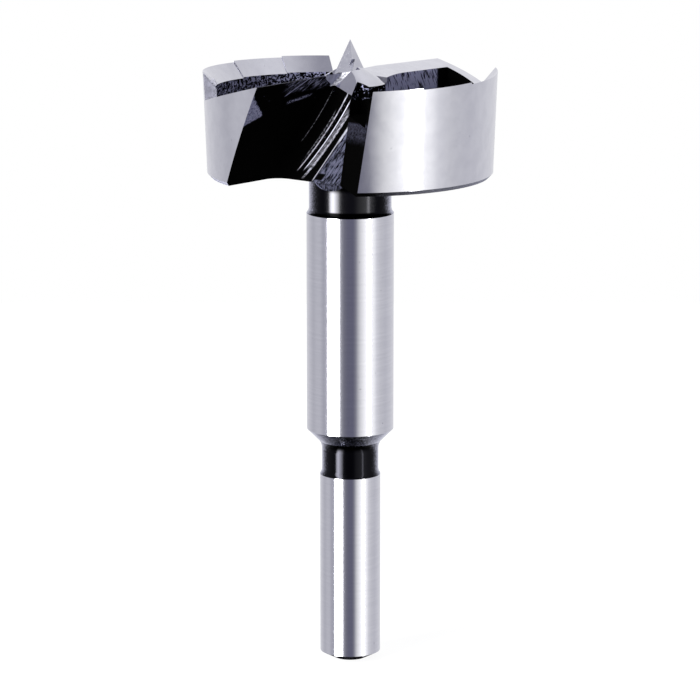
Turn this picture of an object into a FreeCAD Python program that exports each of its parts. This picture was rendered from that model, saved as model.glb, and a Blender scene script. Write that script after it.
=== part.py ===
"""A forstner bit, forged, turned and ground from one bar of tool steel.

The frame is the bit's own: the origin is the middle of the shank's end face,
+Z runs up the axis to the centre point. The tip points up, as the bit stands
on its shank. Seen from the tip it cuts turning counter-clockwise.

All sizes are in millimetres and degrees. The head is the same after half a
turn, so each cut is made once, for the cutter on the +X +Y side, and repeated.
"""
import FreeCAD, Part
import math
import os
import re

import Sketcher

NODE = "forstner_bit"

# The driving sizes, from the shank's end upwards and then round the head.
SIZES = (
    ("shank_diameter", 9.525),
    ("shank_length", 30.0),
    ("end_face_diameter", 5.0),
    ("end_cone_height", 1.15),
    ("lower_neck_diameter", 8.9),
    ("lower_neck_length", 7.35),
    ("lower_flare_height", 0.95),
    ("collar_diameter", 13.64),
    ("collar_length", 34.35),
    ("taper_foot_diameter", 9.7),
    ("taper_angle", 45.0),
    ("taper_foot_height", 1.35),
    ("upper_neck_diameter", 12.86),
    ("upper_neck_length", 5.9),
    ("upper_flare_height", 0.95),
    ("head_diameter", 45.6),
    ("head_height", 16.0),
    ("back_taper_angle", 2.2),
    ("underside_bevel", 0.65),
    ("overrun", 0.5),
    ("rim_edge_height", 0.45),
    ("rim_bevel_width", 2.0),
    ("rim_bevel_height", 2.45),
    ("rim_wave_angle", 1.5),
    ("first_wave_turn", 45.4),
    ("second_wave_turn", 25.0),
    ("third_wave_turn", 33.0),
    ("first_wave_height", 0.40),
    ("second_wave_height", 0.18),
    ("third_wave_height", 0.14),
    ("rim_wave_overlap", 0.3),
    ("wave_overrun", 0.1),
    ("hollow_depth", 5.8),
    ("hollow_end_angle", 140.0),
    ("hollow_corner_along", 2.66),
    ("hollow_corner_offset", 3.67),
    ("hollow_wall_angle", 16.8),
    ("hollow_wall_length", 3.7),
    ("hub_diameter", 11.0),
    ("hub_end_angle", 108.0),
    ("dish_foot_drop", 1.65),
    ("dish_top_rise", 0.98),
    ("dish_top_diameter", 2.6),
    ("dish_arc_radius", 20.0),
    ("dish_start_angle", 40.5),
    ("dish_turn", 124.0),
    ("dish_overrun", 2.0),
    ("cutter_azimuth", 50.0),
    ("edge_lead", 0.9),
    ("edge_rise_angle", 0.85),
    ("relief_angle", 14.2),
    ("land_width", 3.65),
    ("hub_land_width", 4.85),
    ("heel_curve_along", 10.5),
    ("heel_curve_radius", 18.0),
    ("spur_angle", 40.6),
    ("rake_angle", 26.4),
    ("chip_wall_offset", 3.9),
    ("chip_wall_angle", 18.65),
    ("chip_corner_radius", 0.7),
    ("chip_corner_growth", 0.11),
    ("chip_side_foot", 4.05),
    ("chip_side_foot_growth", 0.11),
    ("chip_window_angle", 48.6),
    ("chip_window_turn", 0.378),
    ("chip_overrun", 1.4),
    ("point_height", 5.1),
    ("point_half_angle", 25.2),
    ("point_azimuth", 10.5),
    ("point_root_depth", 1.6),
    ("point_flat", 0.06),
    ("gash_rise", 2.23),
    ("gash_turn", 9.8),
    ("gash_fall_angle", 37.3),
    ("gash_side_angle", 16.6),
    ("gash_wall_angle", 23.9),
    ("gash_lead", 0.99),
    ("gash_strip_width", 0.95),
    ("gash_strip_rise", 0.17),
    ("gash_strip_radius", 3.4),
    ("gash_reach", 1.2),
)

# Values that follow from the driving sizes, as formulas of the same sheet.
LEVELS = (
    ("collar_foot_level", "shank_length + lower_neck_length"),
    ("collar_top_level", "collar_foot_level + collar_length"),
    ("underside_level", "collar_top_level + upper_neck_length"),
    ("rim_level", "underside_level + head_height"),
    ("rim_top_level", "rim_level + rim_edge_height"),
    ("tip_level", "rim_level + point_height"),
    ("hollow_level", "rim_level - hollow_depth"),
    ("taper_foot_level", "collar_foot_level - (collar_diameter - taper_foot_diameter) / 2 / tan(taper_angle)"),
    ("rim_top_radius", "head_diameter / 2 + rim_edge_height * tan(back_taper_angle)"),
    ("rim_inner_radius", "rim_top_radius - rim_bevel_width"),
    ("second_wave_start", "first_wave_turn"),
    ("third_wave_start", "first_wave_turn + second_wave_turn"),
    ("head_foot_radius", "head_diameter / 2 - (head_height - underside_bevel) * tan(back_taper_angle)"),
    ("heel_offset", "land_width - edge_lead"),
    ("hub_heel_offset", "hub_land_width - edge_lead"),
    ("corner_along", "sqrt((head_diameter / 2)^2 - edge_lead^2)"),
)


def sheet_of_sizes(doc):
    """The driving sizes and what follows from them, each cell named."""
    sheet = doc.addObject("Spreadsheet::Sheet", "Sizes")
    for row, (name, value) in enumerate(SIZES, start=1):
        sheet.set("A%d" % row, name)
        sheet.set("B%d" % row, str(value))
        sheet.setAlias("B%d" % row, name)
    for row, (name, formula) in enumerate(LEVELS, start=len(SIZES) + 2):
        sheet.set("A%d" % row, name)
        sheet.set("B%d" % row, "=" + formula)
        sheet.setAlias("B%d" % row, name)
    doc.recompute()
    return sheet


def named(formula):
    """A formula of size names, with each name pointed at the sheet."""
    known = {name for name, _ in SIZES + LEVELS}

    def point(word):
        return "Sizes." + word.group() if word.group() in known else word.group()

    return re.sub(r"\w+", point, formula)


def worked_out(doc, formulas):
    """The present values of some formulas of size names, worked out in a sheet of their own."""
    sheet = doc.getObject("Workings")
    if sheet is None:
        sheet = doc.addObject("Spreadsheet::Sheet", "Workings")
    sheet.clearAll()
    for row, formula in enumerate(formulas, start=1):
        sheet.set("A%d" % row, "=" + named(formula))
    sheet.recompute()
    return [float(sheet.get("A%d" % row)) for row in range(1, len(formulas) + 1)]


def turn(axis, angle):
    """A formula for a turn by an angle about an axis."""
    return "create(<<rotation>>; create(<<vector>>; %s); %s)" % (axis, angle)


def new_sketch(body, name, role, height="0", turns=(), rise="0"):
    """A sketch on one of the body's planes, moved along its normal and up, then turned."""
    sketch = body.newObject("Sketcher::SketchObject", name)
    plane = [feature for feature in body.Origin.OriginFeatures if feature.Role == role][0]
    sketch.AttachmentSupport = [(plane, "")]
    sketch.MapMode = "FlatFace"
    turned = " * ".join(turn(axis, named(angle)) for axis, angle in turns) or turn("0; 0; 1", "0")
    middle = "create(<<vector>>; 0; %s; %s)" % (named(rise), named(height))
    sketch.setExpression("AttachmentOffset", "create(<<placement>>; %s; %s)" % (middle, turned))
    return sketch


def bind(sketch, kind, geometry, formula, value):
    """Adds one size to a sketch, tied to its formula."""
    place = sketch.addConstraint(Sketcher.Constraint(kind, *geometry, value))
    sketch.setExpression("Constraints[%d]" % place, named(formula))


def bind_corner(sketch, edge, end, corner, place):
    """Ties one end of an edge to its place."""
    if corner[0] == corner[1] == "0":
        sketch.addConstraint(Sketcher.Constraint("Coincident", edge, end, -1, 1))
        return
    for kind, formula, value, axis in (
        ("DistanceX", corner[0], place.x, -2),
        ("DistanceY", corner[1], place.y, -1),
    ):
        if formula == "0":
            sketch.addConstraint(Sketcher.Constraint("PointOnObject", edge, end, axis))
        else:
            bind(sketch, kind, (-1, 1, edge, end), formula, value)


def arc_between(start, stop, radius, bulge):
    """An arc between two places. The bulge is 1 where it lies left of its chord, else -1."""
    half = (stop - start) / 2
    left = FreeCAD.Vector(-half.y, half.x, 0).normalize()
    centre = start + half - left * bulge * math.sqrt(radius ** 2 - half.Length ** 2)
    first, last = (stop, start) if bulge == 1 else (start, stop)
    angles = [math.atan2(end.y - centre.y, end.x - centre.x) for end in (first, last)]
    return Part.ArcOfCircle(Part.Circle(centre, FreeCAD.Vector(0, 0, 1), radius), *angles)


def outline(sketch, corners):
    """A closed outline of straight edges and arcs, tied to the sizes.

    A corner is (x, y) where a straight edge starts, or (x, y, radius, bulge) where
    an arc starts.
    """
    doc = sketch.Document
    places = [FreeCAD.Vector(*worked_out(doc, corner[:2]), 0) for corner in corners]
    ends = []
    for edge, corner in enumerate(corners):
        start = places[edge]
        stop = places[(edge + 1) % len(places)]
        if len(corner) == 2:
            sketch.addGeometry(Part.LineSegment(start, stop))
            ends.append((1, 2))
            continue
        radius = worked_out(doc, corner[2:3])[0]
        sketch.addGeometry(arc_between(start, stop, radius, corner[3]))
        ends.append((2, 1) if corner[3] == 1 else (1, 2))
    for edge, corner in enumerate(corners):
        after = (edge + 1) % len(corners)
        sketch.addConstraint(Sketcher.Constraint("Coincident", edge, ends[edge][1], after, ends[after][0]))
        bind_corner(sketch, edge, ends[edge][0], corner[:2], places[edge])
        if len(corner) > 2:
            bind(sketch, "Radius", (edge,), corner[2], worked_out(doc, corner[2:3])[0])


def fillet_radius(width, height):
    """The radius of an arc that starts along the axis and moves out by width over height."""
    return "(( {h} )^2 + ( {w} )^2) / (2 * ( {w} ))".format(w=width, h=height)


def turned_blank(body):
    """Shank, necks, collar and the solid head, turned in one profile."""
    sketch = new_sketch(body, "blank_profile", "XZ_Plane")
    shank = "shank_diameter / 2"
    lower = "lower_neck_diameter / 2"
    collar = "collar_diameter / 2"
    upper = "upper_neck_diameter / 2"
    lower_flare = fillet_radius("shank_diameter / 2 - lower_neck_diameter / 2", "lower_flare_height")
    taper_fillet = fillet_radius("taper_foot_diameter / 2 - lower_neck_diameter / 2", "taper_foot_height")
    upper_flare = fillet_radius("collar_diameter / 2 - upper_neck_diameter / 2", "upper_flare_height")
    outline(sketch, (
        ("0", "0"),
        ("end_face_diameter / 2", "0"),
        (shank, "end_cone_height"),
        (shank, "shank_length", lower_flare, 1),
        (lower, "shank_length + lower_flare_height"),
        (lower, "taper_foot_level - taper_foot_height", taper_fillet, 1),
        ("taper_foot_diameter / 2", "taper_foot_level"),
        (collar, "collar_foot_level"),
        (collar, "collar_top_level", upper_flare, 1),
        (upper, "collar_top_level + upper_flare_height"),
        (upper, "underside_level"),
        ("head_foot_radius - underside_bevel", "underside_level"),
        ("head_foot_radius", "underside_level + underside_bevel"),
        ("rim_top_radius", "rim_top_level"),
        ("hub_diameter / 2", "rim_top_level"),
        ("dish_top_diameter / 2", "rim_level + dish_top_rise"),
        ("0", "rim_level + dish_top_rise"),
    ))
    blank = body.newObject("PartDesign::Revolution", "turned_blank")
    blank.Profile = sketch
    blank.ReferenceAxis = (sketch, ["V_Axis"])
    blank.Angle = 360
    return blank


def chip_outline(body, name, height):
    """The plan of a chip slot at one height: rake face, rounded corner, end wall, far side."""
    sketch = new_sketch(body, name, "XY_Plane", height, [("0; 0; 1", "cutter_azimuth")])
    drop = "( rim_level - ( %s ) )" % height
    rake = "edge_lead - %s * tan(rake_angle)" % drop
    wall = "( chip_wall_offset + %s * tan(chip_wall_angle) )" % drop
    corner = "( chip_corner_radius + %s * chip_corner_growth )" % drop
    side_foot = "( chip_side_foot + %s * chip_side_foot_growth )" % drop
    radius = "( head_diameter / 2 - %s * tan(back_taper_angle) )" % drop
    window = "( chip_window_angle - %s * chip_window_turn )" % drop
    side_end_along = "%s + ( %s * cos%s - %s ) * chip_overrun" % (wall, radius, window, wall)
    side_end = "%s + ( %s * sin%s - %s ) * chip_overrun" % (side_foot, radius, window, side_foot)
    reach = "head_diameter / 2 * chip_overrun"
    outline(sketch, (
        (reach, rake),
        ("%s + %s" % (wall, corner), rake, corner, 1),
        (wall, "%s + %s" % (rake, corner)),
        (wall, side_foot),
        (side_end_along, side_end),
        (reach, side_end),
    ))
    return sketch


def chip_slot(body):
    """The slanted slot in front of a cutter. Its rake face runs under the cutting edge."""
    top = chip_outline(body, "chip_slot_top", "rim_top_level + overrun")
    foot = chip_outline(body, "chip_slot_foot", "underside_level - overrun")
    slot = body.newObject("PartDesign::SubtractiveLoft", "chip_slot")
    slot.Profile = foot
    slot.Sections = [top]
    slot.Ruled = True
    return slot


def hollow(body):
    """The hollow behind a cutter, between the hub and the rim, open into the next slot.

    The land's heel is straight from the rim and curves back where it nears the hub.
    """
    sketch = new_sketch(body, "hollow_plan", "XY_Plane", "rim_level + head_height", [("0; 0; 1", "cutter_azimuth")])
    rim = "rim_inner_radius"
    hub = "( hub_diameter / 2 )"
    corner = ("- hollow_corner_along", "- hollow_corner_offset")
    outline(sketch, (
        ("sqrt(%s ^2 - heel_offset ^2)" % rim, "- heel_offset", rim, 1),
        ("%s * cos(hollow_end_angle)" % rim, "- %s * sin(hollow_end_angle)" % rim),
        ("%s - hollow_wall_length * cos(hollow_wall_angle)" % corner[0],
         "%s - hollow_wall_length * sin(hollow_wall_angle)" % corner[1]),
        corner,
        ("%s * cos(hub_end_angle)" % hub, "- %s * sin(hub_end_angle)" % hub, hub, -1),
        ("sqrt(%s ^2 - hub_heel_offset ^2)" % hub, "- hub_heel_offset", "heel_curve_radius", 1),
        ("heel_curve_along", "- heel_offset"),
    ))
    cut = body.newObject("PartDesign::Pocket", "hollow")
    cut.Profile = sketch
    cut.setExpression("Length", named("head_height + hollow_depth"))
    return cut


def rim_wave(body, name, start, span, height):
    """One ground stretch of the bevel inside the rim, highest at its leading end.

    It starts at an angle behind the spur. Its axis leans, so the edge falls slowly
    to its trailing end, where the next stretch starts a little higher.
    """
    turns = [
        ("0; 1; 0", "cutter_azimuth - spur_angle - %s - %s / 2" % (start, span)),
        ("1; 0; 0", "rim_wave_angle"),
        ("0; 1; 0", "%s / 2" % span),
    ]
    top = "( %s - rim_top_radius * sin(%s / 2) * tan(rim_wave_angle) )" % (height, span)
    sketch = new_sketch(body, name + "_profile", "XZ_Plane", "0", turns, "rim_level")
    inner = "rim_inner_radius - rim_bevel_width * wave_overrun"
    outer = "rim_top_radius + rim_bevel_width * wave_overrun"
    above = "rim_edge_height + 2 * overrun"
    outline(sketch, (
        (inner, "%s - rim_bevel_height * ( 1 + wave_overrun )" % top),
        (outer, "%s + rim_bevel_height * wave_overrun" % top),
        (outer, above),
        (inner, above),
    ))
    cut = body.newObject("PartDesign::Groove", name)
    cut.Profile = sketch
    cut.ReferenceAxis = (sketch, ["V_Axis"])
    cut.setExpression("Angle", named("%s + rim_wave_overlap" % span))
    cut.Reversed = True
    return cut


def first_wave(body):
    """The stretch next to the spur."""
    return rim_wave(body, "first_wave", "0", "first_wave_turn", "first_wave_height")


def second_wave(body):
    """The middle stretch."""
    return rim_wave(body, "second_wave", "second_wave_start", "second_wave_turn", "second_wave_height")


def third_wave(body):
    """The trailing stretch, which ends at the next slot."""
    return rim_wave(body, "third_wave", "third_wave_start", "third_wave_turn", "third_wave_height")


def hub_dish(body):
    """The shallow ground dish round the centre point, behind a cutter."""
    sketch = new_sketch(body, "hub_dish_profile", "XZ_Plane", "0", [("0; 1; 0", "cutter_azimuth - dish_start_angle")])
    outline(sketch, (
        ("dish_top_diameter / 2", "rim_level + dish_top_rise", "dish_arc_radius", 1),
        ("hub_diameter / 2", "rim_level - dish_foot_drop"),
        ("hub_diameter / 2 + dish_overrun", "rim_level - dish_foot_drop"),
        ("hub_diameter / 2 + dish_overrun", "tip_level"),
        ("dish_top_diameter / 2", "tip_level"),
    ))
    cut = body.newObject("PartDesign::Groove", "hub_dish")
    cut.Profile = sketch
    cut.ReferenceAxis = (sketch, ["V_Axis"])
    cut.setExpression("Angle", named("dish_turn"))
    cut.Reversed = True
    return cut


def flank(body):
    """The flank falls behind the cutting edge, from the dish out through the rim to the spur's face."""
    place = [("0; 0; 1", "cutter_azimuth"), ("0; 1; 0", "edge_rise_angle"), ("1; 0; 0", "relief_angle")]
    height = "rim_level + corner_along * tan(edge_rise_angle) - edge_lead * tan(relief_angle)"
    sketch = new_sketch(body, "flank_plan", "XY_Plane", height, place)
    outer = "( head_diameter / 2 * chip_overrun )"
    inner = "( rim_inner_radius - 2 * overrun )"
    behind = "( hub_heel_offset + 2 * overrun )"
    outline(sketch, (
        ("0", "land_width"),
        ("0", "0"),
        ("%s / tan(dish_start_angle)" % behind, "- %s / cos(relief_angle)" % behind),
        ("%s * cos(spur_angle)" % inner, "- %s * sin(spur_angle)" % inner),
        ("%s * cos(spur_angle)" % outer, "- %s * sin(spur_angle)" % outer),
        (outer, "land_width"),
    ))
    cut = body.newObject("PartDesign::Pocket", "flank")
    cut.Profile = sketch
    cut.setExpression("Length", named("head_height / 2"))
    cut.Reversed = True
    return cut


def point_square(body, name, height, half_diagonal):
    """The square section of the centre point at one height."""
    turns = [("0; 0; 1", "point_azimuth")]
    sketch = new_sketch(body, name, "XY_Plane", height, turns)
    outline(sketch, (
        (half_diagonal, "0"),
        ("0", half_diagonal),
        ("- ( %s )" % half_diagonal, "0"),
        ("0", "- ( %s )" % half_diagonal),
    ))
    return sketch


def centre_point(body):
    """The four-sided centre point."""
    root = "rim_level - point_root_depth"
    spread = "( point_height + point_root_depth ) * tan(point_half_angle)"
    base = point_square(body, "point_base", root, spread)
    tip = point_square(body, "point_tip", "tip_level", "point_flat / 2")
    point = body.newObject("PartDesign::AdditiveLoft", "centre_point")
    point.Profile = base
    point.Sections = [tip]
    point.Ruled = True
    return point


def gash(body):
    """The ground gash that carries a cutting edge on through the web to the centre point.

    It runs down and outwards: a hooked wall, a narrow curved strip at its foot, a flat floor.
    """
    turns = [("0; 1; 0", "cutter_azimuth - gash_turn"), ("1; 0; 0", "gash_fall_angle")]
    sketch = new_sketch(body, "gash_profile", "YZ_Plane", "0", turns, "rim_level + gash_rise")
    floor = "- ( %s ) * tan(gash_side_angle)"
    strip_end = "gash_lead + gash_strip_width"
    top = "head_height / 2"
    reach = "hub_diameter"
    outline(sketch, (
        ("gash_lead + %s * tan(gash_wall_angle)" % top, top),
        ("gash_lead", floor % "gash_lead" + " + gash_strip_rise", "gash_strip_radius", -1),
        (strip_end, floor % strip_end),
        (reach, floor % reach),
        (reach, top),
    ))
    cut = body.newObject("PartDesign::Pocket", "gash")
    cut.Profile = sketch
    cut.Reversed = True
    cut.setExpression("Length", named("hub_diameter * gash_reach"))
    cut.Midplane = True
    return cut


def half_turn_copy(body, name, features):
    """Repeats cuts after half a turn about the bit's axis."""
    axis = [feature for feature in body.Origin.OriginFeatures if feature.Role == "Z_Axis"][0]
    pattern = body.newObject("PartDesign::PolarPattern", name)
    pattern.Originals = features
    pattern.Axis = (axis, [""])
    pattern.Angle = 360
    pattern.Occurrences = 2
    body.Tip = pattern
    body.Document.recompute()
    return pattern


def made(body, feature):
    """Makes one feature and stops if it left the steel as it was."""
    before = body.Shape.Volume if body.Tip else 0
    shape = feature(body)
    body.Document.recompute()
    change = body.Shape.Volume - before
    print("%-14s %+9.1f mm3" % (shape.Name, change))
    if abs(change) < 1:
        raise RuntimeError("%s changes nothing" % shape.Name)
    return shape


def forstner_bit(doc):
    """The bit as one body: blank, cuts on both sides, centre point, both gashes."""
    body = doc.addObject("PartDesign::Body", NODE)
    body.Label = NODE
    made(body, turned_blank)
    cuts = [made(body, cut) for cut in (chip_slot, hollow, first_wave, second_wave, third_wave, hub_dish, flank)]
    half_turn_copy(body, "second_side", cuts)
    made(body, centre_point)
    gashes = [made(body, gash)]
    half_turn_copy(body, "second_gash", gashes)
    return body


def check(doc, bodies):
    """Stops unless every object was computed and every solid is whole."""
    for thing in doc.Objects:
        if "Invalid" in thing.State or "Error" in thing.State:
            raise RuntimeError("%s failed: %s" % (thing.Name, thing.State))
    for body in bodies:
        if body.Shape.isNull() or not body.Shape.isValid() or len(body.Shape.Solids) != 1:
            raise RuntimeError("%s isn't one whole solid" % body.Label)


def main():
    doc = FreeCAD.newDocument("forstner_bit")
    sheet_of_sizes(doc)
    bodies = [forstner_bit(doc)]
    doc.removeObject("Workings")
    doc.recompute()
    check(doc, bodies)
    os.makedirs("parts", exist_ok=True)
    for body in bodies:
        body.Shape.exportStep("parts/%s.step" % body.Label)
        box = body.Shape.BoundBox
        print(body.Label, "volume %.1f mm3" % body.Shape.Volume, "faces", len(body.Shape.Faces), box)


main()
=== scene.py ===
"""The look of the forstner bit: which faces are ground bright or left black, and the studio round it.

The bit is one piece of steel. Its node keeps its shape here, and each face gets the material of the
work that made it: turned and ground faces are bright, milled faces keep a black oxide skin, and the
milled end walls show the streaks of the cutter where the skin has worn through.

Lengths are in millimetres, and MM turns them into the scene's metres. Each cutter has a frame of its
own: along the cutter from the axis outwards, ahead of it in the turning direction, and up.
"""
import math
from collections import namedtuple

import bpy
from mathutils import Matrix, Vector

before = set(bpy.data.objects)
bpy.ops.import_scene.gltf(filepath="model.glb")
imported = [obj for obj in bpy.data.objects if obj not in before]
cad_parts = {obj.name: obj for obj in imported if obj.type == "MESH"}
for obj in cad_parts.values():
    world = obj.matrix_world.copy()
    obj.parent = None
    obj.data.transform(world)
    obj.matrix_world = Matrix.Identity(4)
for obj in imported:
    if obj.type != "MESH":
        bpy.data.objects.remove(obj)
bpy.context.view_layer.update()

MM = 0.001

# The sizes of the bit that place its faces, as in the part's own source.
CUTTER_AZIMUTH = math.radians(50)
SPUR_ANGLE = math.radians(-40.6)
SHANK_TOP = 30.0
COLLAR_FOOT = 37.35
COLLAR_TOP = 71.7
UNDERSIDE = 77.6
HOLLOW_FLOOR = 87.8
RIM = 93.6
EDGE_RISE = 0.0148
HEAD_RADIUS = 22.8
RIM_INNER_RADIUS = 20.8
HUB_RADIUS = 5.5

# Levels that part one kind of face from the next.
END_BEVEL_TOP = 1.5
TOP_FACES_FOOT = 90.0
STRIP_FOOT = 90.5
NICK_FOOT = 94.3

# Unit normals of flat faces in a cutter's own frame, and how far a face of the bit may be off them.
FLANK_NORMAL = Vector((0.014, -0.245, 0.969))
END_WALL_NORMAL = Vector((0.948, 0.0, 0.320))
GASH_FLOOR_NORMAL = Vector((0.621, 0.183, 0.762))
GASH_WALL_NORMAL = Vector((-0.088, 0.942, -0.322))
LAND_END_NORMAL = Vector((-0.649, -0.760, 0.0))
NORMAL_SLACK = 0.04

# The way that a gash runs, down and outwards, and how far the strip at its foot may be off it.
GASH_WAY = Vector((0.784, -0.135, -0.607))
STRIP_SLACK = 0.02
STRIP_AHEAD = (0.2, 0.75)

# Shares of a unit normal that point one way: all but straight, mostly, and partly.
STRAIGHT = 0.9
MOSTLY = 0.6
PARTLY = 0.3

# The upright faces in the rim point up by less than this share.
UPRIGHT = 0.4

# A slot's rake face leans, its far side twists, and the corner round between rake face and end wall
# turns from one to the other, so these are known by ranges of their normals.
RAKE_AHEAD = 0.87
RAKE_UP = (-0.47, -0.42)
FAR_SIDE_BEHIND = 0.5
FAR_SIDE_UP = (0.1, 0.3)
CORNER_TURNED = 0.05
CORNER_UP = 0.32
CORNER_LEAD = (-6.0, 2.2)
CORNER_DROP = 1.0

# A spur's upright face lies within this turn of the spur, and the small steps between the rim's
# stretches lie beyond the other, both in radians.
SPUR_REACH = 0.3
STEP_CLEARANCE = 0.15

# The middle of a face of the stem lies at least this far under the head.
STEM_GAP = 0.02

# How far inside a nominal radius or past a level the faces of the head still belong to it.
SIDE_DEPTH = 1.2
BEVEL_DEPTH = 2.0
BEVEL_RISE = 1.0
RIM_DEPTH = 0.3
INNER_WALL_DEPTH = 0.5
FLOOR_RISE = 0.3

# A heel is the upright face behind a land, outside this share of the hub.
HEEL_BEHIND = 0.92
HEEL_UP = 0.1
HEEL_START = 0.65


def in_cutter_frame(x, y, side):
    """A direction or place in the frame of the far cutter (side 1) or the near one (side -1)."""
    along = math.cos(CUTTER_AZIMUTH) * x + math.sin(CUTTER_AZIMUTH) * y
    ahead = math.cos(CUTTER_AZIMUTH) * y - math.sin(CUTTER_AZIMUTH) * x
    return side * along, side * ahead


def own_side(place):
    """The cutter on whose side of the axis a place is: 1 for the far one, -1 for the near one."""
    return 1 if in_cutter_frame(place.x, place.y, 1)[0] > 0 else -1


def within(value, limits):
    """Whether a value lies between two limits."""
    return limits[0] < value < limits[1]


def is_near(direction, normal):
    """Whether two unit normals differ by no more than about two degrees."""
    return (direction - normal).length < NORMAL_SLACK


def outward(place, normal):
    """The share of a normal that points away from the axis."""
    return (place.x * normal.x + place.y * normal.y) / math.hypot(place.x, place.y)


def stem_kind(place, normal):
    """The kind of a face of the stem: black on necks and lower taper, dull at its end, or turned bright."""
    if place.z < END_BEVEL_TOP and normal.z < -PARTLY:
        return "underside"
    if SHANK_TOP < place.z < COLLAR_FOOT or place.z > COLLAR_TOP:
        return "black"
    return "turned"


def is_gash_strip(place, turned):
    """Whether a face belongs to the narrow round strip at the foot of a gash."""
    runs_down = abs(turned.dot(GASH_WAY)) < STRIP_SLACK
    return place.z > STRIP_FOOT and runs_down and within(turned.y, STRIP_AHEAD) and turned.z > PARTLY


def top_kind(place, normal):
    """The kind of a face in the middle of the head: point, dish, gash or land."""
    for side in (1, -1):
        turned = Vector((*in_cutter_frame(normal.x, normal.y, side), normal.z))
        if is_near(turned, GASH_WALL_NORMAL):
            return "gash_wall"
        if is_near(turned, LAND_END_NORMAL):
            return "crease"
        if is_near(turned, GASH_FLOOR_NORMAL) or is_near(turned, FLANK_NORMAL):
            return "ground"
        if is_gash_strip(place, turned):
            return "valley" if place.z < NICK_FOOT else "crease"
    if place.z > RIM or normal.z > MOSTLY:
        return "ground"
    return None


def slot_kind(place, normal):
    """The kind of a face of a chip slot: rake face, end wall with the round by it, or far side."""
    side = own_side(place)
    lead = in_cutter_frame(place.x, place.y, side)[1]
    along, ahead = in_cutter_frame(normal.x, normal.y, side)
    if ahead > RAKE_AHEAD and within(normal.z, RAKE_UP):
        return "rake"
    if is_near(Vector((along, ahead, normal.z)), END_WALL_NORMAL):
        return "end_wall"
    if along > MOSTLY and ahead < -FAR_SIDE_BEHIND and within(normal.z, FAR_SIDE_UP):
        return "far_side"
    corner = min(along, ahead) > CORNER_TURNED and normal.z < CORNER_UP
    if corner and within(lead, CORNER_LEAD) and place.z < RIM - CORNER_DROP:
        return "end_wall"
    return None


def rim_kind(place, normal):
    """The kind of a face on the bevel inside the rim: a ground stretch, or a spur's or step's upright."""
    side = own_side(place)
    along, ahead = in_cutter_frame(place.x, place.y, side)
    off_spur = abs(math.atan2(ahead, along) - SPUR_ANGLE)
    faces_ahead = in_cutter_frame(normal.x, normal.y, side)[1] > MOSTLY
    faces_round = abs(outward(place, normal)) < PARTLY
    spur = faces_ahead and off_spur < SPUR_REACH
    step = faces_round and off_spur > STEP_CLEARANCE
    return "crease" if normal.z < UPRIGHT and (spur or step) else "ground"


def is_heel(place, normal):
    """Whether a face is the upright one behind a land."""
    for side in (1, -1):
        behind = -in_cutter_frame(normal.x, normal.y, side)[1]
        along = in_cutter_frame(place.x, place.y, side)[0]
        if behind > HEEL_BEHIND and abs(normal.z) < HEEL_UP and along > HUB_RADIUS * HEEL_START:
            return True
    return False


def head_kind(place, normal):
    """The kind of a face of the head."""
    radius = math.hypot(place.x, place.y)
    facing = outward(place, normal)
    if normal.z < -STRAIGHT:
        return "underside"
    if facing > STRAIGHT and radius > HEAD_RADIUS - SIDE_DEPTH:
        return "ground"
    if place.z < UNDERSIDE + BEVEL_RISE and normal.z < -PARTLY and radius > HEAD_RADIUS - BEVEL_DEPTH:
        return "bevel"
    kind = slot_kind(place, normal)
    if kind:
        return kind
    if radius > RIM_INNER_RADIUS - RIM_DEPTH and place.z > TOP_FACES_FOOT and facing > -STRAIGHT:
        return rim_kind(place, normal)
    if facing < -STRAIGHT and radius > RIM_INNER_RADIUS - INNER_WALL_DEPTH:
        return "inner_wall"
    if place.z > HOLLOW_FLOOR + FLOOR_RISE and is_heel(place, normal):
        return "heel"
    if place.z > TOP_FACES_FOOT:
        kind = top_kind(place, normal)
    return kind or "slot"


def face_kind(place, normal):
    """The kind of a face of the bit, by the place of its middle and by its normal."""
    if place.z < UNDERSIDE - STEM_GAP:
        return stem_kind(place, normal)
    return head_kind(place, normal)


# The sockets of a mix node that take the share and the two colours, and the one that gives their mix.
MIX_SHARE = 0
MIX_FIRST = 6
MIX_SECOND = 7
MIX_RESULT = 2

# A noise gives values round this one.
NOISE_MIDDLE = 0.5


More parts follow.
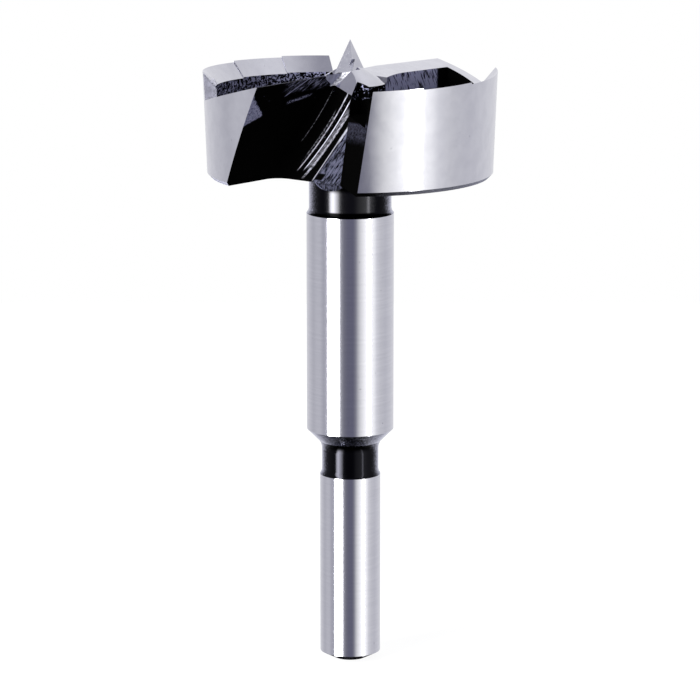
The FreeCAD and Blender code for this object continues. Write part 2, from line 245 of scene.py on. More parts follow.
class Nodes:
    """The node tree of one material or world, with short calls for what it needs."""

    def __init__(self, tree):
        self.tree = tree
        tree.nodes.clear()

    def add(self, kind, **settings):
        node = self.tree.nodes.new(kind)
        for name, value in settings.items():
            setattr(node, name, value)
        return node

    def feed(self, socket, value):
        """Gives a socket its value, or links it to another node's output."""
        if isinstance(value, bpy.types.NodeSocket):
            self.tree.links.new(value, socket)
        else:
            socket.default_value = value

    def math(self, operation, *values):
        node = self.add("ShaderNodeMath", operation=operation)
        for socket, value in zip(node.inputs, values):
            self.feed(socket, value)
        return node.outputs[0]

    def plus(self, first, second):
        return self.math("ADD", first, second)

    def minus(self, first, second):
        return self.math("SUBTRACT", first, second)

    def times(self, first, second):
        return self.math("MULTIPLY", first, second)

    def square(self, value):
        return self.times(value, value)

    def distance(self, value, centre):
        """How far a value is from a centre, on either side."""
        return self.math("ABSOLUTE", self.minus(value, centre))

    def largest(self, first, *others):
        for value in others:
            first = self.math("MAXIMUM", first, value)
        return first

    def turn(self, ahead, along):
        """The turn round the axis from one way towards another, in radians."""
        return self.math("ARCTAN2", ahead, along)

    def between(self, value, low, high, start, stop):
        """Goes smoothly from start to stop as the value goes from low to high."""
        node = self.add("ShaderNodeMapRange", interpolation_type="SMOOTHSTEP")
        for socket, number in zip(node.inputs, (value, low, high, start, stop)):
            self.feed(socket, number)
        return node.outputs[0]

    def rise(self, value, low, high, full=1.0):
        """Goes smoothly from nothing to full as the value goes from low to high."""
        return self.between(value, low, high, 0.0, full)

    def fall(self, value, low, high, full=1.0):
        """Goes smoothly from full to nothing as the value goes from low to high."""
        return self.between(value, low, high, full, 0.0)

    def mix(self, share, first, second):
        """A colour that goes from the first to the second."""
        node = self.add("ShaderNodeMix", data_type="RGBA")
        self.feed(node.inputs[MIX_SHARE], share)
        self.feed(node.inputs[MIX_FIRST], first)
        self.feed(node.inputs[MIX_SECOND], second)
        return node.outputs[MIX_RESULT]

    def blend(self, share, first, second):
        """A shader that goes from the first to the second."""
        node = self.add("ShaderNodeMixShader")
        for socket, value in zip(node.inputs, (share, first, second)):
            self.feed(socket, value)
        return node.outputs[0]

    def noise(self, place, scale, detail=3.0, roughness=0.5):
        """A cloudy value from 0 to 1, finer with a larger scale."""
        node = self.add("ShaderNodeTexNoise")
        self.feed(node.inputs["Vector"], place)
        node.inputs["Scale"].default_value = scale
        node.inputs["Detail"].default_value = detail
        node.inputs["Roughness"].default_value = roughness
        return node.outputs[0]

    def wander(self, noise, size):
        """A value that wanders to both sides of 0 as a noise does, over a given size."""
        return self.times(self.minus(noise, NOISE_MIDDLE), size)

    def vector(self, x, y, z):
        node = self.add("ShaderNodeCombineXYZ")
        for socket, value in zip(node.inputs, (x, y, z)):
            self.feed(socket, value)
        return node.outputs[0]

    def flat(self, first, second, fineness=(1.0, 1.0), layer=0.0):
        """A place on a flat face, made finer each way for a noise. Each layer has a pattern of its own."""
        return self.vector(self.times(first, fineness[0]), self.times(second, fineness[1]), layer)

    def place(self):
        """The place on the bit in millimetres, as three values."""
        here = self.add("ShaderNodeTexCoord").outputs["Object"]
        node = self.add("ShaderNodeSeparateXYZ")
        self.feed(node.inputs[0], here)
        return [self.times(output, 1 / MM) for output in node.outputs]

    def cutter_place(self):
        """The place in the frame of the cutter whose side it is on: along it, ahead of it, up."""
        x, y, z = self.place()
        cosine = math.cos(CUTTER_AZIMUTH)
        sine = math.sin(CUTTER_AZIMUTH)
        along = self.plus(self.times(x, cosine), self.times(y, sine))
        ahead = self.minus(self.times(y, cosine), self.times(x, sine))
        side = self.math("SIGN", along)
        return self.math("ABSOLUTE", along), self.times(ahead, side), z

    def bump(self, height, depth):
        """A bump of the given depth in millimetres."""
        node = self.add("ShaderNodeBump")
        node.inputs["Distance"].default_value = depth * MM
        self.feed(node.inputs["Height"], height)
        return node.outputs[0]

    def surface(self, **values):
        """The shader itself, with its values by socket name."""
        shader = self.add("ShaderNodeBsdfPrincipled")
        for name, value in values.items():
            self.feed(shader.inputs[name.replace("_", " ")], value)
        out = self.add("ShaderNodeOutputMaterial")
        self.feed(out.inputs["Surface"], shader.outputs[0])


def new_material(name):
    """A named material and its empty node tree."""
    material = bpy.data.materials.new(name)
    material.use_nodes = True
    return material, Nodes(material.node_tree)


# The metals and skins of the bit. Some tones below hold painted shade or a painted glint.
STEEL = (0.90, 0.90, 0.95, 1)
STEEL_DULL = (0.84, 0.84, 0.895, 1)
OXIDE = (0.0007, 0.0007, 0.0007, 1)
GREY = (0.15, 0.155, 0.235, 1)
GREY_WORN = (0.27, 0.275, 0.42, 1)
BRIGHT = (0.56, 0.56, 0.66, 1)
SHEEN_LOWER = (0.012, 0.012, 0.0145, 1)
SHEEN_UPPER = (0.034, 0.034, 0.037, 1)
# The upper neck's sheen where painted shade darkens it, as it turns from the viewer.
SHADED_SHEEN = (0.006, 0.006, 0.008, 1)
EDGE_GLEAM = (0.68, 0.69, 0.84, 1)
BEVEL_WORN = (0.75, 0.76, 0.93, 1)
VALLEY_DARK = (0.28, 0.28, 0.33, 1)
# The ground strip at a gash's foot: the dark tone of its ripples, and its painted glint.
VALLEY_GLINT = (0.86, 0.86, 0.90, 1)
# Ground steel on the gash walls, creases and upright steps, darkened to grey by painted shade.
GASH_WALL_SHADED_GREY = (0.24, 0.245, 0.34, 1)
CREASE_SHADED_GREY = (0.19, 0.19, 0.23, 1)

# A pattern comes up as its noise goes from the first value to the second.
DULL_CLOUDS = (0.30, 0.70)
SHINE_LINES = (0.25, 0.75)
GROUND_SPECKS = (0.75, 0.80)
TURNED_NICKS = (0.74, 0.78)
RUN_OUT_FIBRES = (0.40, 0.62)
GREY_FIBRES = (0.40, 0.60)
GREY_PITS = (0.34, 0.44)
PATCH_GRAIN = (0.30, 0.70)
FUZZY_BREAKS = (0.42, 0.56)
FINE_LINES = (0.48, 0.64)
HIGH_DOTS = (0.70, 0.75)
RUBBED_GRAIN = (0.44, 0.58)
HUB_SPECKS = (0.60, 0.65)
WALL_BLOTCHES = (0.65, 0.71)
HEEL_MARKS = (0.39, 0.49)
UNDERSIDE_GRAIN = (0.50, 0.75)
VALLEY_RIPPLE = (0.38, 0.62)

# How much finer the lines in the bright steel are drawn along the axis, so that they run round it.
GRINDING_FINENESS = 6.0
TURNING_FINENESS = 3.0


def bright_steel(nodes, lines, cloud, specks, smooth, rough):
    """Bright steel that is duller in clouds, with fine lines in its shine and a few grey specks."""
    tone = nodes.mix(nodes.rise(cloud, *DULL_CLOUDS), STEEL, STEEL_DULL)
    nodes.surface(
        Base_Color=nodes.mix(specks, tone, GREY),
        Metallic=1.0,
        Roughness=nodes.between(lines, *SHINE_LINES, start=smooth, stop=rough),
        Normal=nodes.bump(lines, depth=0.0003),
    )


def ground_steel():
    """Ground steel, with its grinding lines round the head."""
    material, nodes = new_material("ground_steel")
    x, y, z = nodes.place()
    here = nodes.vector(x, y, z)
    line_place = nodes.vector(x, y, nodes.times(z, GRINDING_FINENESS))
    lines = nodes.noise(line_place, scale=0.9, roughness=0.6)
    cloud = nodes.noise(here, scale=0.5)
    specks = nodes.rise(nodes.noise(here, scale=2.2, detail=2.0), *GROUND_SPECKS, full=0.5)
    bright_steel(nodes, lines, cloud, specks, smooth=0.10, rough=0.13)
    return material


def turned_steel():
    """Turned steel, with faint rings round the stem."""
    material, nodes = new_material("turned_steel")
    x, y, z = nodes.place()
    ring_place = nodes.vector(nodes.turn(y, x), 0.0, nodes.times(z, TURNING_FINENESS))
    rings = nodes.noise(ring_place, scale=0.8, roughness=0.6)
    nick_noise = nodes.noise(nodes.vector(x, y, z), scale=1.9, detail=2.0)
    nicks = nodes.rise(nick_noise, *TURNED_NICKS, full=0.5)
    bright_steel(nodes, rings, rings, nicks, smooth=0.09, rough=0.12)
    return material


# Pairs of levels between which the sheen of the necks comes up or fades out, as painted shade: it comes
# up above the upper neck's foot, and is painted dark under the head and up the lower taper.
FOOT_SHADE = (72.4, 72.7)
HEAD_SHADE = (75.4, 76.2)
TAPER_SHADE = (34.0, 35.0)

# How far the necks have turned away from the viewer, from 0 to 1, where painted shade darkens the upper
# one's sheen and where the edge of both gleams.
SHADE_TURNED = (0.12, 0.26)
EDGE_TURNED = (0.42, 0.92)

# The edge of a slot's run-out on the upper neck. It is lowest at a turn from the cutter, in degrees,
# and rises with the square of the turn from there. On its trailing stretch it has a bright burr.
RUN_OUT_TURN = 9.0
RUN_OUT_FOOT = 75.7
RUN_OUT_CURVE = 0.0014
RUN_OUT_FUZZ = 0.1
RUN_OUT_RAGGED = 0.3
BURR_TURN = (-16.0, -8.0)
BURR_HEIGHT = (0.1, 0.25)


def neck_sheen(nodes, up, upper):
    """The sheen of the necks by which neck it is, with painted shade that takes it off by height."""
    lower_sheen = nodes.mix(nodes.fall(up, *TAPER_SHADE), OXIDE, SHEEN_LOWER)
    unshaded_neck = nodes.times(nodes.rise(up, *FOOT_SHADE), nodes.fall(up, *HEAD_SHADE))
    upper_sheen = nodes.mix(unshaded_neck, OXIDE, SHEEN_UPPER)
    return nodes.mix(upper, lower_sheen, upper_sheen)


def slot_run_out(nodes):
    """Where a slot's end wall runs out on the neck, and the scratches in it."""
    along, ahead, up = nodes.cutter_place()
    off = nodes.minus(nodes.math("DEGREES", nodes.turn(ahead, along)), RUN_OUT_TURN)
    foot = nodes.plus(RUN_OUT_FOOT, nodes.times(nodes.square(off), RUN_OUT_CURVE))
    fibre_place = nodes.flat(ahead, up, fineness=(2.2, 1.0))
    fibre = nodes.noise(fibre_place, scale=1.6, detail=4.0, roughness=0.7)
    above = nodes.minus(up, nodes.plus(foot, nodes.times(fibre, RUN_OUT_RAGGED)))
    run_out = nodes.rise(above, 0.0, RUN_OUT_FUZZ)
    burr = nodes.times(nodes.fall(above, *BURR_HEIGHT, full=0.8), nodes.fall(off, *BURR_TURN))
    return run_out, nodes.largest(burr, nodes.rise(fibre, *RUN_OUT_FIBRES, full=0.3))


def black_oxide():
    """Glossy black oxide on the turned necks, with the slots' run-out on the neck under the head."""
    material, nodes = new_material("black_oxide")
    x, y, z = nodes.place()
    glance = nodes.add("ShaderNodeLayerWeight").outputs["Facing"]
    grit = nodes.noise(nodes.vector(x, y, z), scale=4.4, roughness=0.7)
    upper = nodes.rise(z, COLLAR_FOOT, COLLAR_TOP)
    # Painted shade: the upper neck's sheen goes dark where it turns from the viewer, between middle and
    # edge.
    painted_turn_shade = nodes.rise(nodes.plus(glance, nodes.wander(grit, size=0.2)), *SHADE_TURNED)
    mirror = nodes.mix(nodes.times(painted_turn_shade, upper), neck_sheen(nodes, z, upper), SHADED_SHEEN)
    edge = nodes.rise(nodes.plus(glance, nodes.wander(grit, size=0.7)), *EDGE_TURNED)
    shine = nodes.mix(edge, mirror, EDGE_GLEAM)
    run_out, scratches = slot_run_out(nodes)
    nodes.surface(
        Base_Color=nodes.mix(run_out, shine, nodes.mix(scratches, OXIDE, GREY)),
        Metallic=nodes.minus(1.0, run_out),
        Roughness=nodes.between(upper, 0.0, 1.0, start=0.12, stop=0.17),
        Specular_IOR_Level=0.0,
        Normal=nodes.bump(grit, depth=0.001),
    )
    return material


def worn_skin(nodes, share, height, depth, skin=OXIDE, metal=GREY_WORN):
    """A dark skin worn through to the metal by a share that goes from 0 to 1."""
    nodes.surface(
        Base_Color=nodes.mix(share, skin, metal),
        Metallic=0.0,
        Roughness=0.7,
        Specular_IOR_Level=0.0,
        Normal=nodes.bump(height, depth),
    )


# Streaks worn into a slot's end wall: each has its place across the wall, half its width, its foot
# and its top, how bright it is, and how broken, from 0 to 1.
Streak = namedtuple("Streak", "across half_width foot top bright broken")
STREAKS = (
    Streak(across=-6.70, half_width=0.07, foot=83.4, top=91.8, bright=0.16, broken=0.48),
    Streak(across=-4.10, half_width=0.06, foot=81.2, top=88.8, bright=0.24, broken=0.48),
    Streak(across=-3.82, half_width=0.20, foot=80.2, top=88.2, bright=0.20, broken=0.56),
    Streak(across=-3.48, half_width=0.11, foot=79.0, top=92.0, bright=0.42, broken=0.42),
    Streak(across=-3.05, half_width=0.12, foot=82.0, top=90.8, bright=0.24, broken=0.62),
    Streak(across=-2.38, half_width=0.08, foot=79.2, top=90.4, bright=0.66, broken=0.30),
    Streak(across=-1.84, half_width=0.46, foot=79.4, top=89.2, bright=0.12, broken=0.46),
    Streak(across=-1.38, half_width=0.20, foot=78.0, top=88.4, bright=0.34, broken=0.46),
    Streak(across=0.05, half_width=0.10, foot=77.6, top=87.2, bright=0.24, broken=0.28),
    Streak(across=0.12, half_width=0.22, foot=83.5, top=87.0, bright=0.30, broken=0.36),
)

# How a streak fades out: at its sides between two shares of its half width, at its foot and its top
# between two steps from them, and in its breaks between two values of the grain about its own. Where
# it is whole it gains a little.
STREAK_SIDE = (0.6, 1.3)
STREAK_FOOT = (-0.2, 0.8)
STREAK_TOP = (-1.2, 0.0)
STREAK_BREAK = (-0.06, 0.10)
STREAK_GAIN = 1.25

# How far the streaks lead for each millimetre up, and how those on the trailing side, up to a place
# across the wall, bow about a height.
STREAK_LEAD = 0.575
STREAK_BOW = 0.017
BOW_HEIGHT = 84.6
BOW_END = (-2.0, -0.3)

# Where the grey stretch of an end wall begins, and the middle and half size of the black spot in it.
GREY_START = (0.2, 0.5)
SPOT_ACROSS = 1.0
SPOT_HEIGHT = 78.5
SPOT_HALF_WIDTH = (0.6, 0.75)
SPOT_HALF_HEIGHT = (0.4, 0.6)


def across_wall(nodes, ahead, up):
    """Where a place lies across the streaks of an end wall, which lean and bow."""
    straight = nodes.minus(ahead, nodes.times(nodes.minus(up, UNDERSIDE), STREAK_LEAD))
    bow = nodes.times(nodes.square(nodes.minus(up, BOW_HEIGHT)), STREAK_BOW)
    return nodes.plus(straight, nodes.times(bow, nodes.fall(straight, *BOW_END)))


def worn_streak(nodes, across, up, grain, streak):
    """One bright streak, broken here and there along its way."""
    off = nodes.distance(across, streak.across)
    body = nodes.fall(off, *(streak.half_width * share for share in STREAK_SIDE), full=streak.bright)
    above_foot = nodes.rise(up, *(streak.foot + step for step in STREAK_FOOT))
    below_top = nodes.fall(up, *(streak.top + step for step in STREAK_TOP))
    whole = nodes.rise(grain, *(streak.broken + step for step in STREAK_BREAK), full=STREAK_GAIN)
    return nodes.times(nodes.times(body, nodes.times(above_foot, below_top)), whole)


def all_streaks(nodes, across, up):
    """How bright the end wall is with all its streaks."""
    grain_place = nodes.flat(across, up, fineness=(2.6, 1.6))
    grain = nodes.noise(grain_place, scale=1.5, detail=4.0, roughness=0.8)
    return nodes.largest(0.0, *(worn_streak(nodes, across, up, grain, streak) for streak in STREAKS))


def grey_stretch(nodes, across, ahead, up, fibre):
    """How far the end wall is worn grey by the far side, but for pits and a black spot at its foot."""
    pits = nodes.noise(nodes.flat(ahead, up, layer=7.0), scale=1.5, roughness=0.6)
    worn = nodes.times(nodes.rise(across, *GREY_START), nodes.rise(fibre, *GREY_FIBRES, full=0.34))
    worn = nodes.times(worn, nodes.between(pits, *GREY_PITS, start=0.15, stop=1.0))
    spot_across = nodes.fall(nodes.distance(across, SPOT_ACROSS), *SPOT_HALF_WIDTH)
    spot_up = nodes.fall(nodes.distance(up, SPOT_HEIGHT), *SPOT_HALF_HEIGHT)
    return nodes.times(worn, nodes.minus(1.0, nodes.times(spot_across, spot_up)))


def end_wall_skin():
    """The slot's end wall: black oxide with bright streaks, and a grey worn stretch by the far side."""
    material, nodes = new_material("end_wall_skin")
    _, ahead, up = nodes.cutter_place()
    across = across_wall(nodes, ahead, up)
    bright = all_streaks(nodes, across, up)
    fibre_place = nodes.flat(across, up, fineness=(2.2, 0.55), layer=4.0)
    fibre = nodes.noise(fibre_place, scale=1.4, detail=5.0, roughness=0.7)
    grey = nodes.mix(grey_stretch(nodes, across, ahead, up, fibre), OXIDE, GREY)
    worn_skin(nodes, bright, nodes.plus(fibre, bright), depth=0.02, skin=grey, metal=BRIGHT)
    return material


# The clean patch at the rake face's outer end. From its top its inner side slants inwards on the way
# down, and its foot slants down on the way outwards from a place along the cutter. The foot wanders by
# a share of what the inner side does.
PATCH_TOP = 92.0
PATCH_INNER = 22.6
PATCH_INNER_SLANT = -1.15
PATCH_INNER_HEIGHT = 3.3
PATCH_INNER_FUZZ = 0.15
PATCH_FOOT = 88.75
PATCH_FOOT_ALONG = 18.7
PATCH_FOOT_SLANT = 0.37
PATCH_FOOT_FUZZ = 0.08
PATCH_FOOT_RAGGED = 0.25

# Scratches below the cutting edge. On each, the height plus a share of the place along the cutter
# stays the same, and it fades out between two half widths. The other pairs are places along the
# cutter, or levels, between which the scratches come up or end. The foot of the fine ones is ragged.
SCRATCH_SLANT = 0.55
CRISP_SCRATCH = 99.72
CRISP_SIDE = (0.06, 0.16)
CRISP_END = (14.8, 15.3)
FUZZY_SLANT = 0.15
FUZZY_SCRATCH = 92.33
FUZZY_SIDE = (0.05, 0.35)
FUZZY_START = (8.4, 9.4)
FUZZY_END = (13.6, 14.2)
FINE_FOOT = (91.6, 92.6)
FINE_RAGGED = 0.8
FINE_END = (14.0, 16.5)
DOTS_FOOT = (90.2, 91.2)

# A painted highlight runs along the cutting edge, on its bare ground steel, from just under its height at
# the rim.
EDGE_GLINT_LEVELS = (RIM - 0.12, RIM - 0.04)


def clean_patch(nodes, along, up, wander, fine):
    """The patch at the rake face's outer end that is ground through the skin."""
    drop = nodes.math("MINIMUM", nodes.minus(PATCH_TOP, up), PATCH_INNER_HEIGHT)
    inner = nodes.plus(PATCH_INNER, nodes.times(drop, PATCH_INNER_SLANT))
    past_inner = nodes.minus(nodes.plus(along, wander), inner)
    inside = nodes.rise(past_inner, -PATCH_INNER_FUZZ, PATCH_INNER_FUZZ)
    slant = nodes.times(nodes.minus(along, PATCH_FOOT_ALONG), PATCH_FOOT_SLANT)
    ragged = nodes.times(wander, PATCH_FOOT_RAGGED)
    past_foot = nodes.plus(nodes.plus(nodes.minus(up, PATCH_FOOT), slant), ragged)
    above = nodes.rise(past_foot, -PATCH_FOOT_FUZZ, PATCH_FOOT_FUZZ)
    grain = nodes.between(fine, *PATCH_GRAIN, start=0.20, stop=0.58)
    return nodes.times(nodes.times(inside, above), grain)


def crisp_scratch(nodes, along, slant):
    """The sharp scratch that slants down from the cutting edge."""
    line = nodes.fall(nodes.distance(slant, CRISP_SCRATCH), *CRISP_SIDE, full=0.5)
    return nodes.times(line, nodes.fall(along, *CRISP_END))


def fuzzy_scratch(nodes, along, up, fine):
    """The broad broken scratch below it, which runs nearly level."""
    slant = nodes.plus(up, nodes.times(along, FUZZY_SLANT))
    line = nodes.fall(nodes.distance(slant, FUZZY_SCRATCH), *FUZZY_SIDE, full=0.42)
    reach = nodes.times(nodes.rise(along, *FUZZY_START), nodes.fall(along, *FUZZY_END))
    return nodes.times(nodes.times(line, nodes.rise(fine, *FUZZY_BREAKS)), reach)


def fine_scratches(nodes, along, up, slant, wander):
    """The fine scratches close to the cutting edge, on the inner half of the rake face."""
    line_place = nodes.flat(slant, along, fineness=(3.0, 0.5))
    lines = nodes.noise(line_place, scale=1.3, detail=5.0, roughness=0.7)
    near_edge = nodes.rise(nodes.plus(up, nodes.times(wander, FINE_RAGGED)), *FINE_FOOT)
    where = nodes.times(near_edge, nodes.fall(along, *FINE_END))
    return nodes.times(nodes.rise(lines, *FINE_LINES, full=0.5), where)


def high_dots(nodes, along, up):
    """Scattered grey dots near the cutting edge."""
    dots = nodes.noise(nodes.flat(along, up, layer=9.0), scale=1.7, detail=2.0)
    return nodes.times(nodes.rise(dots, *HIGH_DOTS, full=0.26), nodes.rise(up, *DOTS_FOOT))


def rake_skin():
    """The slot's rake face: black oxide, scratched below the edge, ground clean at its outer end."""
    material, nodes = new_material("rake_skin")
    along, _, up = nodes.cutter_place()
    rough = nodes.noise(nodes.flat(along, up), scale=1.1, detail=4.0, roughness=0.65)
    fine = nodes.noise(nodes.flat(along, up, layer=3.0), scale=3.4, detail=2.0, roughness=0.6)
    wander = nodes.wander(rough, size=1.8)
    slant = nodes.plus(up, nodes.times(along, SCRATCH_SLANT))
    marks = nodes.largest(
        clean_patch(nodes, along, up, wander, fine),
        crisp_scratch(nodes, along, slant),
        fuzzy_scratch(nodes, along, up, fine),
        fine_scratches(nodes, along, up, slant, wander),
        high_dots(nodes, along, up),
    )
    # Painted highlight along the cutting edge, over its bare ground steel.
    level = nodes.plus(up, nodes.times(nodes.minus(along, HEAD_RADIUS), EDGE_RISE))
    edge_glint = nodes.rise(level, *EDGE_GLINT_LEVELS, full=0.16)
    worn_skin(nodes, edge_glint, rough, depth=0.01, skin=nodes.mix(marks, OXIDE, GREY_WORN), metal=BRIGHT)
    return material


# The rubbed stretch of a slot's far side has a ragged foot and a clean top, which both rise along the
# cutter. Each pair gives the levels on the axis between which it comes up or ends.
RUBBED_RISE = 0.185
RUBBED_FOOT = (82.4, 83.8)
RUBBED_TOP = (85.6, 85.9)


def far_side_skin():
    """The slot's far side: black oxide, rubbed grey in a stretch below the hollow's floor."""
    material, nodes = new_material("far_side_skin")
    along, ahead, up = nodes.cutter_place()
    here = nodes.vector(along, ahead, up)
    grain = nodes.noise(here, scale=1.7, detail=4.0, roughness=0.7)
    fine = nodes.noise(here, scale=3.0, roughness=0.7)
    level = nodes.minus(up, nodes.times(along, RUBBED_RISE))
    ragged = nodes.plus(level, nodes.wander(grain, size=3.0))
    rubbed = nodes.times(nodes.rise(ragged, *RUBBED_FOOT), nodes.fall(level, *RUBBED_TOP))
    share = nodes.times(rubbed, nodes.rise(fine, *RUBBED_GRAIN, full=0.075))
    worn_skin(nodes, share, grain, depth=0.03)
    return material


# The specks by the hub end between these distances from the axis and begin between these levels.
SPECKS_END = (5.0, 7.0)
SPECKS_FOOT = (89.6, 91.0)


def slot_skin():
    """Black oxide in the hollows, with a few bright specks near the hub."""
    material, nodes = new_material("slot_skin")
    x, y, z = nodes.place()
    radius = nodes.math("SQRT", nodes.plus(nodes.square(x), nodes.square(y)))
    specks = nodes.noise(nodes.vector(x, y, z), scale=2.8, detail=2.0, roughness=0.6)
    close = nodes.times(nodes.fall(radius, *SPECKS_END), nodes.rise(z, *SPECKS_FOOT))
    share = nodes.times(nodes.rise(specks, *HUB_SPECKS, full=0.95), close)
    worn_skin(nodes, share, specks, depth=0.02)
    return material


# The stretch of the inner wall next to the heel is all black between these turns, in radians. The
# rest is blotched by a noise with a share of a finer one added.
BLACK_WALL_START = (-0.66, -0.56)
BLACK_WALL_END = (-0.05, 0.0)
FINE_SHARE = 0.3


def dotted_wall():
    """The milled wall inside the rim: black blotches on grey, all black next to the heel."""
    material, nodes = new_material("dotted_wall")
    here = nodes.vector(*nodes.place())
    along, ahead, _ = nodes.cutter_place()
    blotch = nodes.noise(here, scale=2.3, roughness=0.65)
    fine = nodes.noise(here, scale=4.6, detail=2.0)
    turn = nodes.turn(ahead, along)
    black = nodes.times(nodes.rise(turn, *BLACK_WALL_START), nodes.fall(turn, *BLACK_WALL_END))
    grey = nodes.rise(nodes.plus(blotch, nodes.times(fine, FINE_SHARE)), *WALL_BLOTCHES, full=0.85)
    worn_skin(nodes, nodes.times(grey, nodes.minus(1.0, black)), blotch, depth=0.04)
    return material


# How far the slanting marks on a heel move inwards for each millimetre up, and where its grey ends,
# along a ragged line.
MARK_SLANT = 0.45
HEEL_GREY_END = (18.7, 19.4)
HEEL_RAGGED = 2.0


def heel_skin():
    """The rough milled face behind a land: grey with slanting black marks, and black at its outer end."""
    material, nodes = new_material("heel_skin")
    along, _, up = nodes.cutter_place()
    slant = nodes.plus(along, nodes.times(up, MARK_SLANT))
    mark_place = nodes.flat(slant, up, fineness=(1.6, 0.3))
    marks = nodes.noise(mark_place, scale=1.5, detail=4.0, roughness=0.65)
    inner = nodes.fall(nodes.plus(along, nodes.times(marks, HEEL_RAGGED)), *HEEL_GREY_END)
    share = nodes.times(nodes.between(marks, *HEEL_MARKS, start=0.03, stop=0.86), inner)
    worn_skin(nodes, share, marks, depth=0.04)
    return material


def underside_skin():
    """Rough black skin under the head."""
    material, nodes = new_material("underside_skin")
    here = nodes.vector(*nodes.place())
    grain = nodes.noise(here, scale=2.2, detail=4.0, roughness=0.65)
    share = nodes.rise(grain, *UNDERSIDE_GRAIN, full=0.15)
    worn_skin(nodes, share, grain, depth=0.06, metal=BRIGHT)
    return material


# Turns round the axis in degrees, the same for both halves of the head: where a half starts and ends,
# and how the bevel under the head gets brighter from the slot to the cutting edge.
HALF_START = 92.0
HALF_END = 272.0
WORN_START = 96.0
WORN_MIDDLE = 130.0
WORN_END = 170.0
WORN_RAGGED = 12.0


def bevel_skin():
    """The bevel under the head: black next to the slot, worn brighter round towards the cutting edge."""
    material, nodes = new_material("bevel_skin")
    x, y, z = nodes.place()
    grain = nodes.noise(nodes.vector(x, y, z), scale=1.5, roughness=0.6)
    turn = nodes.math("WRAP", nodes.math("DEGREES", nodes.turn(y, x)), HALF_END, HALF_START)
    turn = nodes.plus(turn, nodes.wander(grain, size=WORN_RAGGED))
    start = nodes.rise(turn, WORN_START, WORN_MIDDLE, full=0.13)
    share = nodes.plus(start, nodes.rise(turn, WORN_MIDDLE, WORN_END, full=0.16))
    worn_skin(nodes, share, grain, depth=0.004, metal=BEVEL_WORN)
    return material


def glinting_valley():
    """The ground strip at the foot of a gash, with its glint painted into its colour in rippled patches."""
    material, nodes = new_material("glinting_valley")
    ripple = nodes.noise(nodes.vector(*nodes.place()), scale=2.6)
    nodes.surface(
        Base_Color=nodes.mix(nodes.rise(ripple, *VALLEY_RIPPLE), VALLEY_DARK, VALLEY_GLINT),
        Metallic=0.3,
        Roughness=0.3,
        Normal=nodes.bump(ripple, depth=0.06),
    )
    return material


def dull_shaded_ground(name, colour):
    """Ground steel with a dull finish, its grey tone darkened by painted shade on steep faces."""
    material, nodes = new_material(name)
    cloud = nodes.noise(nodes.vector(*nodes.place()), scale=1.2)
    nodes.surface(
        Base_Color=nodes.mix(nodes.rise(cloud, *DULL_CLOUDS, full=0.3), colour, OXIDE),
        Metallic=0.2,
        Roughness=0.5,
        Specular_IOR_Level=0.1,
        Normal=nodes.bump(cloud, depth=0.01),
    )
    return material


def dress(bit):
    """Gives each face of the bit the material of its kind."""
    materials = {
        "ground": ground_steel(),
        "turned": turned_steel(),
        "black": black_oxide(),
        "rake": rake_skin(),
        "end_wall": end_wall_skin(),
        "far_side": far_side_skin(),
        "slot": slot_skin(),
        "inner_wall": dotted_wall(),
        "heel": heel_skin(),
        "underside": underside_skin(),
        "bevel": bevel_skin(),
        "valley": glinting_valley(),
        "gash_wall": dull_shaded_ground("gash_wall_steel", GASH_WALL_SHADED_GREY),
        "crease": dull_shaded_ground("crease_steel", CREASE_SHADED_GREY),
    }
    bit.data.materials.clear()
    for material in materials.values():
        bit.data.materials.append(material)
    kinds = list(materials)
    for face in bit.data.polygons:
        face.material_index = kinds.index(face_kind(face.center / MM, face.normal))


# The studio round the bit, by the turn away from the camera's side, in degrees: + is to the right.
STUDIO_BANDS = (
    (-180, (0.78, 0.78, 0.81)),
    (-115, (0.45, 0.45, 0.49)),
    (-100, (0.50, 0.50, 0.54)),
    (-88, (0.50, 0.50, 0.54)),
    (-74, (0.37, 0.37, 0.42)),
    (-64, (0.40, 0.40, 0.45)),
    (-61.5, (0.9, 0.9, 0.9)),
    (-59, (20, 20, 20)),
    (-50, (38, 38, 38)),
    (-40.5, (20, 20, 20)),
    (-31.5, (7, 7, 7)),
    (-29, (0.7, 0.7, 0.72)),
    (-24, (0.30, 0.30, 0.34)),
    (-16, (0.16, 0.16, 0.20)),
    (-6, (0.125, 0.125, 0.175)),
    (8, (0.125, 0.125, 0.175)),
    (15, (0.22, 0.22, 0.26)),
    (20, (0.43, 0.43, 0.46)),
    (26, (0.67, 0.67, 0.68)),
    (36, (0.94, 0.94, 0.94)),
    (43, (1.12, 1.12, 1.12)),
    (49, (1.3, 1.3, 1.3)),
    (50.5, (7, 7, 7)),
    (54.5, (7, 7, 7)),
    (56, (1.25, 1.25, 1.25)),
    (61, (1.03, 1.03, 1.03)),
    (67, (0.95, 0.95, 0.96)),
    (74, (0.70, 0.70, 0.73)),
    (87, (0.57, 0.57, 0.60)),
    (107, (0.52, 0.52, 0.56)),
    (155, (0.68, 0.68, 0.71)),
    (180, (0.78, 0.78, 0.81)),
)
HALF_CIRCLE = 180.0
FULL_CIRCLE = 360.0

# Over and under the panels the studio is plain, and paler to the right and behind. The pairs are
# shares of a direction between which the panels end and the paler tone comes up.
STUDIO_TOP_LEFT = (0.29, 0.29, 0.34, 1)
STUDIO_TOP_RIGHT = (0.68, 0.68, 0.72, 1)
PANEL_END = (0.5, 0.85)
PALER_SIDE = (-0.1, 0.8)


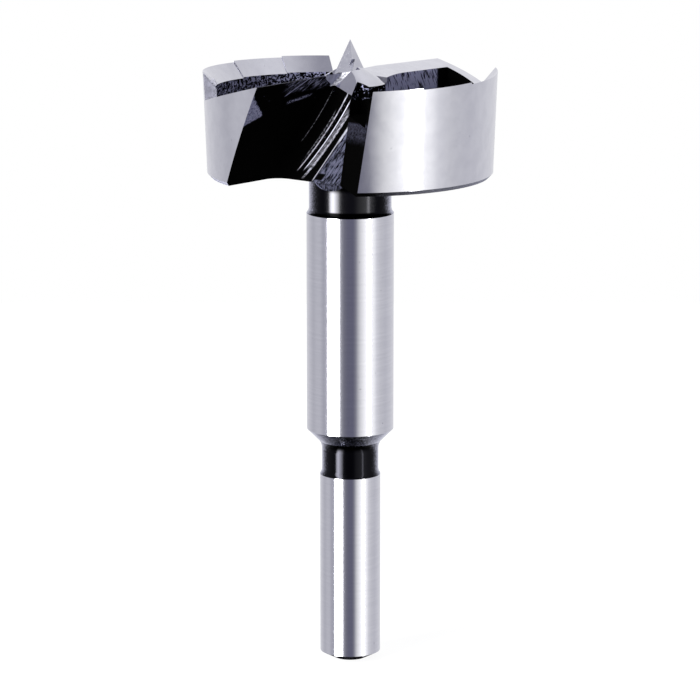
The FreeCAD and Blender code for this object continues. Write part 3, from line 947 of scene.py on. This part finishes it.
def panel_light(nodes, x, y):
    """The light of the tall panels, by the turn round the bit."""
    panels = nodes.add("ShaderNodeValToRGB")
    stops = panels.color_ramp.elements
    for place, (angle, colour) in enumerate(STUDIO_BANDS):
        stop = stops[place] if place < len(stops) else stops.new(1.0)
        stop.position = (angle + HALF_CIRCLE) / FULL_CIRCLE
        stop.color = (*colour, 1)
    turn = nodes.math("DEGREES", nodes.turn(x, nodes.times(y, -1.0)))
    nodes.feed(panels.inputs[0], nodes.math("DIVIDE", nodes.plus(turn, HALF_CIRCLE), FULL_CIRCLE))
    return panels.outputs[0]


def studio_world():
    """A white background for the camera, and for everything else a studio of tall soft panels."""
    world = bpy.data.worlds.new("studio")
    bpy.context.scene.world = world
    world.use_nodes = True
    nodes = Nodes(world.node_tree)
    split = nodes.add("ShaderNodeSeparateXYZ")
    nodes.feed(split.inputs[0], nodes.add("ShaderNodeTexCoord").outputs["Generated"])
    x, y, z = split.outputs
    high = nodes.rise(nodes.math("ABSOLUTE", z), *PANEL_END)
    ceiling = nodes.mix(nodes.rise(nodes.plus(x, y), *PALER_SIDE), STUDIO_TOP_LEFT, STUDIO_TOP_RIGHT)
    studio = nodes.add("ShaderNodeBackground")
    nodes.feed(studio.inputs["Color"], nodes.mix(high, panel_light(nodes, x, y), ceiling))
    white = nodes.add("ShaderNodeBackground")
    white.inputs["Color"].default_value = (1, 1, 1, 1)
    for_camera = nodes.add("ShaderNodeLightPath").outputs["Is Camera Ray"]
    out = nodes.add("ShaderNodeOutputWorld")
    nodes.feed(out.inputs["Surface"], nodes.blend(for_camera, studio.outputs[0], white.outputs[0]))


# The floor lies just under the bit's end face. For the camera most of it glows as white as the
# background, and the rest of it keeps the bit's shadow.
FLOOR_SIZE = 600.0
FLOOR_DROP = 0.2
FLOOR_WHITE = (0.9, 0.9, 0.9, 1)
FLOOR_GLOW = 1.05
GLOW_SHARE = 0.9


def pale_floor():
    """A plain pale floor that the metal looks through to the studio."""
    bpy.ops.mesh.primitive_plane_add(size=FLOOR_SIZE * MM, location=(0, 0, -FLOOR_DROP * MM))
    floor = bpy.context.object
    floor.name = "floor"
    material, nodes = new_material("pale_floor")
    path = nodes.add("ShaderNodeLightPath")
    diffuse = nodes.add("ShaderNodeBsdfDiffuse")
    diffuse.inputs["Color"].default_value = FLOOR_WHITE
    white = nodes.add("ShaderNodeEmission")
    white.inputs["Strength"].default_value = FLOOR_GLOW
    clear = nodes.add("ShaderNodeBsdfTransparent")
    glow = nodes.times(path.outputs["Is Camera Ray"], GLOW_SHARE)
    seen = nodes.blend(glow, diffuse.outputs[0], white.outputs[0])
    out = nodes.add("ShaderNodeOutputMaterial")
    nodes.feed(out.inputs["Surface"], nodes.blend(path.outputs["Is Glossy Ray"], seen, clear.outputs[0]))
    floor.data.materials.append(material)


# The camera's place, and its frame and focal length in pixels of the photograph.
CAMERA_DISTANCE = 565.2
CAMERA_PITCH = math.radians(11.57)
AIM_HEIGHT = 49.8
FOCAL_PIXELS = 3600
IMAGE_PIXELS = 700
SHIFT_PIXELS = -0.2
SENSOR = 36.0
CLIP_START = 10.0
CLIP_END = 10000.0


def photo_camera():
    """The camera at the photograph's place, looking along +Y and a little down."""
    data = bpy.data.cameras.new("camera")
    data.sensor_width = SENSOR
    data.lens = SENSOR * FOCAL_PIXELS / IMAGE_PIXELS
    data.clip_start = CLIP_START * MM
    data.clip_end = CLIP_END * MM
    data.shift_x = SHIFT_PIXELS / IMAGE_PIXELS
    camera = bpy.data.objects.new("camera", data)
    bpy.context.collection.objects.link(camera)
    back = CAMERA_DISTANCE * math.cos(CAMERA_PITCH)
    rise = CAMERA_DISTANCE * math.sin(CAMERA_PITCH)
    camera.location = Vector((0, -back, AIM_HEIGHT + rise)) * MM
    camera.rotation_euler = (math.pi / 2 - CAMERA_PITCH, 0, 0)
    bpy.context.scene.camera = camera


bpy.context.scene.view_settings.view_transform = "Standard"
photo_camera()
studio_world()
pale_floor()
dress(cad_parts["forstner_bit"])
